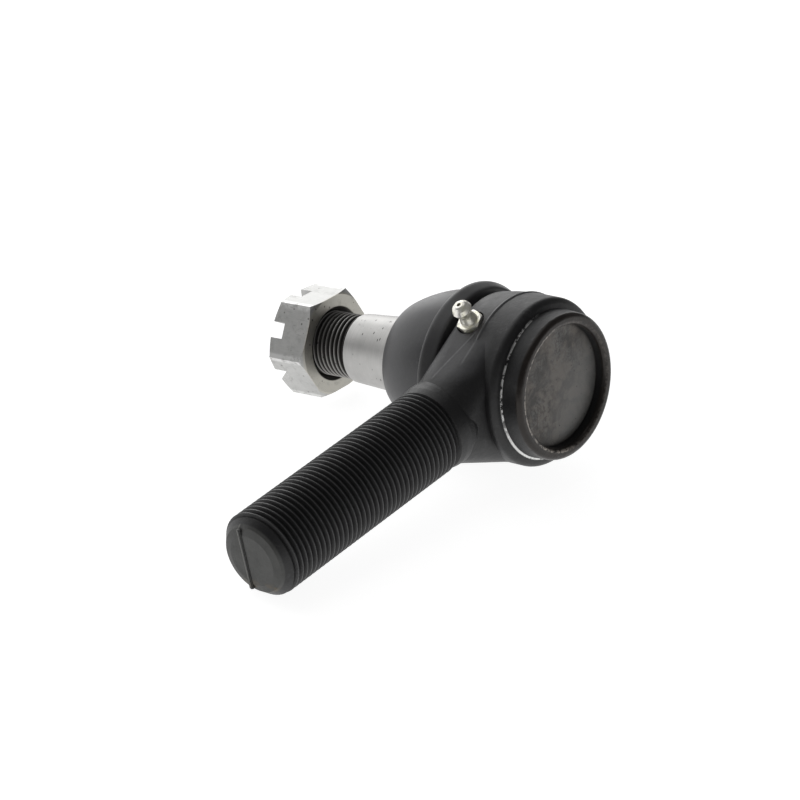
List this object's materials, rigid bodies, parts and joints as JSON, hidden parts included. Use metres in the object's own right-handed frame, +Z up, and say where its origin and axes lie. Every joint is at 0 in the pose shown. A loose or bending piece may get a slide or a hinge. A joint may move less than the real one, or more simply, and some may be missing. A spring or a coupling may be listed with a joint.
{
  "type": "tie rod end",
  "caption": "Greaseable steering tie rod end: forged ball socket on a straight threaded shank, tapered ball stud with slotted nut, rubber dust boot and grease fitting.",
  "frame": {"origin": "centre of the ball, where the shank's axis crosses the socket's axis", "axes": "-X along the threaded shank to its tip; +Y along the socket's axis towards the stud, with the cover on -Y; +Z up, with the grease fitting 25 degrees from it towards the shank. At rest the stud leans 3.3 degrees from +Y towards the shank."},
  "size_m": [0.1552, 0.1139, 0.0627],
  "materials": {
    "forged_black": "satin black paint over a forging",
    "cover_steel": "dark phosphated, stained",
    "bare_steel": "bare ground steel",
    "nut_steel": "dull plated steel",
    "bearing_steel": "hardened steel",
    "spring_steel": "spring steel",
    "fitting_zinc": "zinc plated, faintly yellow",
    "boot_rubber": "smooth satin",
    "ring_rubber": "smooth black"
  },
  "bodies": {
    "socket": {"socket_housing": "forged_black", "upper_bearing": "bearing_steel", "disc_spring": "spring_steel", "cover_plate": "cover_steel", "grease_fitting_body": "fitting_zinc", "grease_check_spring": "spring_steel"},
    "pressure_seat": {"pressure_seat": "bearing_steel"},
    "check_ball": {"grease_check_ball": "bearing_steel"},
    "boot_swivel": {"boot_seal_ring": "ring_rubber", "dust_boot": "boot_rubber"},
    "boot_neck": {"boot_neck_ring": "spring_steel"},
    "stud": {"ball_stud": "bare_steel"},
    "nut": {"castle_nut": "nut_steel"}
  },
  "joints": [
    {"name": "socket_swivel", "type": "hinge", "parent": "socket", "child": "boot_swivel", "pos_m": [0, 0, 0], "axis": [0, 1, 0], "continuous": true},
    {"name": "stud_tilt", "type": "hinge", "parent": "boot_swivel", "child": "boot_neck", "pos_m": [0, 0, 0], "axis": [0, 0, 1], "range_deg": [-28.3, 21.7], "deforming": ["dust_boot"]},
    {"name": "stud_spin", "type": "hinge", "parent": "boot_neck", "child": "stud", "pos_m": [0, 0, 0], "axis": [-0.0576, 0.9983, 0], "continuous": true},
    {"name": "nut_travel", "type": "slide", "parent": "stud", "child": "nut", "axis": [-0.0576, 0.9983, 0], "range_m": [-0.0091, 0.007]},
    {"name": "seat_lift", "type": "slide", "parent": "socket", "child": "pressure_seat", "axis": [0, -1, 0], "range_m": [0, 0.0003], "stiffness_N_per_m": 50000, "springref_m": -0.001, "deforming": ["disc_spring"]},
    {"name": "check_open", "type": "slide", "parent": "socket", "child": "check_ball", "axis": [0.4226, 0, -0.9063], "range_m": [0, 0.0008], "stiffness_N_per_m": 500, "springref_m": -0.001, "deforming": ["grease_check_spring"]}
  ]
}
